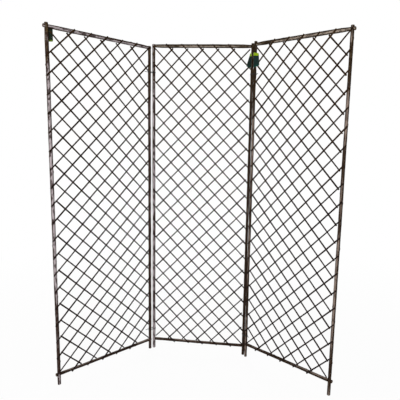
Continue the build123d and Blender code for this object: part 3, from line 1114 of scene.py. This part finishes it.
def buildCard(name, card):
    v = cardValues
    topLeft, topRight, lowRight, lowLeft = (Vector(corner) * mm for corner in card["corners"])
    radius = v["cornerRadius"]
    tall = (topLeft - lowLeft).length
    wide = max((topRight - topLeft).length, (lowRight - lowLeft).length)
    shape = bmesh.new()
    place = shape.verts.layers.float_vector.new("cardPlace")
    rim = shape.verts.layers.float.new("rim")
    grids = []
    for side in (0, 1):
        grid = []
        for level in sharesOf(v["rows"], v["edgeRow"]):
            left, right = lowLeft.lerp(topLeft, level), lowRight.lerp(topRight, level)
            span = (right - left).length
            reach = min(level, 1 - level) * tall
            lost = radius - math.sqrt(max(radius ** 2 - max(radius - reach, 0) ** 2, 0))
            lost = min(lost, span * v["mostCut"])
            lift = v["curl"] * (1 - level) ** 2
            deep = card["depth"] * mm + card["facing"] * (side * v["thickness"] + lift)
            row = []
            for step in sharesOf(v["columns"], v["edgeColumn"]):
                spot = left.lerp(right, lost / span + step * (1 - 2 * lost / span))
                vertex = shape.verts.new((spot.x, deep, spot.y))
                vertex[place] = (step * wide, level, level * tall)
                vertex[rim] = float(step in (0, 1) or level in (0, 1))
                row.append(vertex)
            grid.append(row)
        grids.append(grid)
    for grid in grids:
        for low, high in zip(grid, grid[1:]):
            for index in range(len(low) - 1):
                shape.faces.new((low[index], low[index + 1], high[index + 1], high[index]))
    near, far = (
        grid[0] + [row[-1] for row in grid[1:]] + grid[-1][-2::-1] + [row[0] for row in grid[-2:0:-1]]
        for grid in grids)
    for index in range(len(near)):
        after = (index + 1) % len(near)
        shape.faces.new((near[index], near[after], far[after], far[index]))
    finishShape(name, shape, card["panel"], cardMaterials[card["look"]])


def buildPin(name, card):
    v = cardValues
    head, shaft, high, sides = v["pinHead"], v["pinShaft"], v["headHeight"], v["pinSides"]
    front = v["thickness"] + high
    end = front - card["pinLength"] * mm
    line = [(front - high * down, head * out) for down, out in v["headProfile"]]
    line += [(v["thickness"], shaft), (end + shaft * v["pinPoint"], shaft), (end, 0.0)]
    shape = bmesh.new()
    rings = []
    for out, radius in line:
        turns = [2 * math.pi * index / sides for index in range(sides)] if radius else [0.0]
        rings.append([shape.verts.new((card["pin"][0] * mm + radius * math.cos(turn),
                                       card["depth"] * mm + card["facing"] * out,
                                       card["pin"][1] * mm + radius * math.sin(turn))) for turn in turns])
    for first, second in zip(rings, rings[1:]):
        for index in range(sides):
            after = (index + 1) % sides
            corners = [first[index % len(first)], second[index % len(second)],
                       second[after % len(second)], first[after % len(first)]]
            shape.faces.new(list(dict.fromkeys(corners)))   # a tip's corners are one
    finishShape(name, shape, card["panel"], steels["nailSteel"])


for cardName, cardSpec in cardValues["cards"].items():
    buildCard(cardName, cardSpec)
    buildPin(f"{cardName}_pin", cardSpec)
print("cards made")

# Carried-over CAD nodes: wire ties and corner nails
for nodeName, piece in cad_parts.items():
    if "wire" in nodeName or "nails" in nodeName:
        piece.data.materials.clear()
        piece.data.materials.append(steels["tieWire" if "wire" in nodeName else "nailSteel"])
        print(nodeName, "faces", len(piece.data.polygons))
print("ties and nails finished")

# Floor, backdrop and light
studio = {
    "floorSize": 40.0,
    "floorColour": colour(0.93, 0.93, 0.93),
    "mottleColour": colour(0.90, 0.90, 0.90),
    "mottleScale": 3.0,
    "mottleDetail": 3.0,
    "mottleShades": (0.4, 0.6, 0.0, 0.1),
    "floorRoughness": 0.9,
    "floorWhite": 0.955,          # share of plain white that the camera sees in the floor
    "fadeNear": 1.0,              # from here out the floor turns plain white
    "fadeFar": 3.0,
    "worldLight": 0.26,
    "aim": (0.0, 0.0, 0.95),
    "lamps": {                    # place, size in metres and power in watts
        "key": ((0.25, -3.2, 1.9), 0.7, 68.0),
        "fill": ((-2.6, -2.2, 1.6), 1.6, 18.0),
        "back": ((-0.9, 3.4, 2.0), 1.6, 42.0),
    },
}


def seenDirectly(tree):
    path = tree.nodes.new("ShaderNodeLightPath").outputs
    seen = calc(tree, "MAXIMUM", path["Is Camera Ray"], path["Is Glossy Ray"])
    return calc(tree, "MAXIMUM", seen, path["Is Transmission Ray"])


def makeFloor(values):
    half = values["floorSize"] / 2
    mesh = bpy.data.meshes.new("studio floor")
    corners = [(-half, -half, 0), (half, -half, 0), (half, half, 0), (-half, half, 0)]
    mesh.from_pydata(corners, [], [(0, 1, 2, 3)])
    floor = addObject("studio floor", mesh)
    material, tree, surface = newMaterial("floor paint")
    place = addNode(tree, "ShaderNodeTexCoord").outputs["Object"]
    mottle = noiseTexture(tree, place, values["mottleScale"], values["mottleDetail"]).outputs[0]
    mottled = ramp(tree, mottle, *values["mottleShades"])
    paint = mixColours(tree, mottled, values["floorColour"], values["mottleColour"])
    feed(tree, surface, {"Base Color": paint})
    surface.inputs["Roughness"].default_value = values["floorRoughness"]
    white = addNode(tree, "ShaderNodeEmission", {"Color": colour(1, 1, 1), "Strength": 1.0})
    away = vectorCalc(tree, "LENGTH", place)
    share = times(tree, seenDirectly(tree),
                  ramp(tree, away, values["fadeNear"], values["fadeFar"], values["floorWhite"], 1.0))
    mix = addNode(tree, "ShaderNodeMixShader", {0: share, 1: surface.outputs[0], 2: white.outputs[0]})
    feed(tree, findNode(tree, "OUTPUT_MATERIAL"), {"Surface": mix.outputs[0]})
    mesh.materials.append(material)


def makeWorld(values):
    world = bpy.data.worlds.new("studio")
    bpy.context.scene.world = world
    world.use_nodes = True
    tree = world.node_tree
    background = findNode(tree, "BACKGROUND")
    background.inputs["Color"].default_value = colour(1, 1, 1)
    lift = times(tree, seenDirectly(tree), 1.0 - values["worldLight"])
    feed(tree, background, {"Strength": plus(tree, lift, values["worldLight"])})


def addLamp(name, place, size, power, aim):
    data = bpy.data.lights.new(name, "AREA")
    data.shape = "DISK"
    data.size = size
    data.energy = power
    lamp = addObject(name, data)
    lamp.location = place
    lamp.rotation_euler = (Vector(aim) - Vector(place)).to_track_quat("-Z", "Y").to_euler()


makeFloor(studio)
makeWorld(studio)
for lampName, (lampPlace, lampSize, lampPower) in studio["lamps"].items():
    addLamp(lampName, lampPlace, lampSize, lampPower, studio["aim"])
bpy.context.scene.view_settings.view_transform = "Standard"
print("floor and light made")
